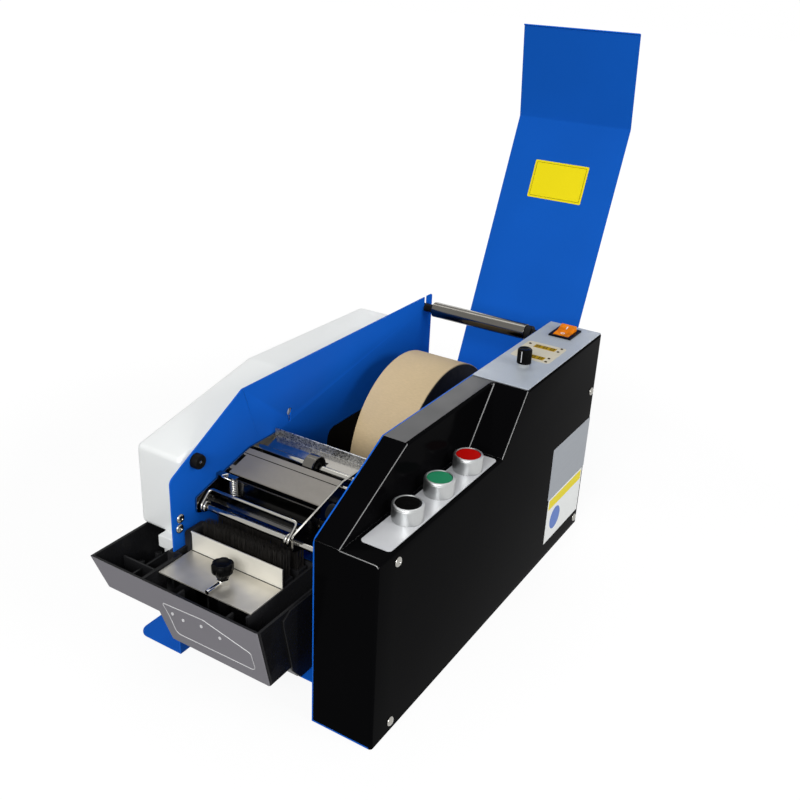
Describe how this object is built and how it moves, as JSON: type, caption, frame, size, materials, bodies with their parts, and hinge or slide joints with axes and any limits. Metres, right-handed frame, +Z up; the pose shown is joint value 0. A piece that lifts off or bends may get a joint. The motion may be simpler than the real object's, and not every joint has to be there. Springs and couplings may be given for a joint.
{
  "type": "gummed tape dispenser",
  "caption": "Electric bench dispenser for gummed paper tape: tape roll, feed and cutter unit, brush tank with water bottle, button housing and swing-up lid.",
  "frame": {"origin": "bottom centre of the bounding box with the lid open; Z = 0 is the table", "axes": "+X to the right towards the button housing, +Y to the back, +Z up; the water tank and the tape outlet face -Y"},
  "size_m": [0.2846, 0.7064, 0.5509],
  "materials": {
    "blue_paint": "satin",
    "black_paint": "gloss",
    "silver_paint": "satin",
    "grey_paint": "satin",
    "steel": "brushed",
    "chrome": "polished",
    "alu": "satin",
    "black_plastic": "matte",
    "black_gloss": "gloss",
    "green_plastic": "gloss",
    "red_plastic": "gloss",
    "orange_plastic": "gloss",
    "brown_window": "gloss",
    "board": "matte",
    "white_plastic": "satin",
    "bristle": "rough",
    "kraft": "matte",
    "card": "matte",
    "rubber": "matte"
  },
  "bodies": {
    "frame": {"left_side_plate": "blue_paint", "right_side_plate": "blue_paint", "base_pan": "blue_paint", "back_cover": "blue_paint", "housing_cover": "black_paint", "panel_plate": "silver_paint", "button_label_plate": "black_gloss", "pan_screws": "steel", "button_bezels": "alu", "button_contact_blocks": "black_plastic", "potentiometer": "steel", "rocker_frame": "black_gloss", "display_modules": "brown_window", "control_board": "board", "mains_inlet": "black_plastic", "drive_motor": "steel", "feed_cheek_left": "steel", "feed_cheek_right": "steel", "top_plate": "grey_paint", "rear_guide_plate": "steel", "feed_bed": "steel", "tie_rod": "chrome", "pressure_shaft": "chrome", "front_rod": "chrome", "cutter_spring": "steel", "cutter_solenoid": "black_plastic", "roll_guide_left": "black_paint", "roll_guide_right": "black_paint", "guide_roller_bushes": "black_plastic", "water_tank": "black_plastic", "brushes": "bristle", "press_plate": "steel", "tray_knob_nut": "black_plastic", "water_bottle": "white_plastic", "bottle_cap": "white_plastic", "bottle_shelf": "blue_paint", "lid_pin": "steel", "lid_bumpers": "rubber", "rubber_feet": "rubber"},
    "lid_flap": {"lid": "blue_paint"},
    "black_button": {"black_button_cap": "black_gloss"},
    "green_button": {"green_button_cap": "green_plastic"},
    "red_button": {"red_button_cap": "red_plastic"},
    "dial": {"length_knob": "black_plastic"},
    "power_rocker": {"rocker_lever": "orange_plastic"},
    "tape": {"tape_roll": "kraft", "tape_core": "card", "roll_side_disc": "black_plastic"},
    "front_roller": {"front_basket_roller": "steel"},
    "rear_roller": {"rear_basket_roller": "steel"},
    "guide_roller": {"guide_roller_tube": "steel"},
    "feed": {"feed_shaft": "steel", "feed_wheel": "rubber", "drive_gear": "steel"},
    "pinion": {"motor_pinion": "steel"},
    "pressure": {"pressure_wheel": "steel"},
    "cutter": {"moving_blade": "steel", "solenoid_plunger": "steel"},
    "bail": {"hold_down_bail": "chrome"},
    "tank_knob": {"tray_knob": "black_plastic"}
  },
  "joints": [
    {"name": "lid_hinge", "type": "hinge", "parent": "frame", "child": "lid_flap", "pos_m": [-0.00195, 0.13844, 0.156], "axis": [1, 0, 0], "range_deg": [0, 112.4]},
    {"name": "black_button_press", "type": "slide", "parent": "frame", "child": "black_button", "axis": [0, 0, -1], "range_m": [0, 0.003], "stiffness_N_per_m": 600, "springref_m": -0.002},
    {"name": "green_button_press", "type": "slide", "parent": "frame", "child": "green_button", "axis": [0, 0, -1], "range_m": [0, 0.003], "stiffness_N_per_m": 600, "springref_m": -0.002},
    {"name": "red_button_press", "type": "slide", "parent": "frame", "child": "red_button", "axis": [0, 0, -1], "range_m": [0, 0.003], "stiffness_N_per_m": 600, "springref_m": -0.002},
    {"name": "length_knob_turn", "type": "hinge", "parent": "frame", "child": "dial", "pos_m": [0.10875, 0.01294, 0.255], "axis": [0, 0, 1], "range_deg": [-150, 150]},
    {"name": "rocker_tilt", "type": "hinge", "parent": "frame", "child": "power_rocker", "pos_m": [0.10705, 0.12394, 0.247], "axis": [-1, 0, 0], "range_deg": [0, 24]},
    {"name": "tape_unroll", "type": "hinge", "parent": "frame", "child": "tape", "pos_m": [-0.01695, 0.03444, 0.111], "axis": [1, 0, 0], "continuous": true},
    {"name": "front_basket_roller_spin", "type": "hinge", "parent": "frame", "child": "front_roller", "pos_m": [-0.01695, -0.02854, 0.02106], "axis": [1, 0, 0], "continuous": true},
    {"name": "rear_basket_roller_spin", "type": "hinge", "parent": "frame", "child": "rear_roller", "pos_m": [-0.01695, 0.09742, 0.02106], "axis": [1, 0, 0], "continuous": true},
    {"name": "guide_roller_spin", "type": "hinge", "parent": "frame", "child": "guide_roller", "pos_m": [-0.00695, 0.13704, 0.2336], "axis": [1, 0, 0], "continuous": true},
    {"name": "feed_drive", "type": "hinge", "parent": "frame", "child": "feed", "pos_m": [-0.00195, -0.18456, 0.1492], "axis": [1, 0, 0], "continuous": true},
    {"name": "motor_pinion_spin", "type": "hinge", "parent": "frame", "child": "pinion", "pos_m": [0.08505, -0.18456, 0.1177], "axis": [1, 0, 0], "continuous": true},
    {"name": "pressure_wheel_spin", "type": "hinge", "parent": "frame", "child": "pressure", "pos_m": [-0.01125, -0.18456, 0.1776], "axis": [1, 0, 0], "continuous": true},
    {"name": "cutter_stroke", "type": "slide", "parent": "frame", "child": "cutter", "axis": [0, 0, -1], "range_m": [0, 0.012], "stiffness_N_per_m": 150, "springref_m": -0.015, "deforming": ["cutter_spring"]},
    {"name": "bail_lift", "type": "hinge", "parent": "frame", "child": "bail", "pos_m": [-0.02195, -0.26696, 0.152], "axis": [1, 0, 0], "range_deg": [0, 95]},
    {"name": "tank_knob_turn", "type": "hinge", "parent": "frame", "child": "tank_knob", "pos_m": [-0.01365, -0.31376, 0.13], "axis": [0, 0, 1], "continuous": true}
  ],
  "couplings": [
    {"joint": "front_basket_roller_spin", "follows": "tape_unroll", "ratio": -12.688},
    {"joint": "rear_basket_roller_spin", "follows": "tape_unroll", "ratio": -12.688},
    {"joint": "motor_pinion_spin", "follows": "feed_drive", "ratio": -2.5},
    {"joint": "pressure_wheel_spin", "follows": "feed_drive", "ratio": -1.3333}
  ]
}
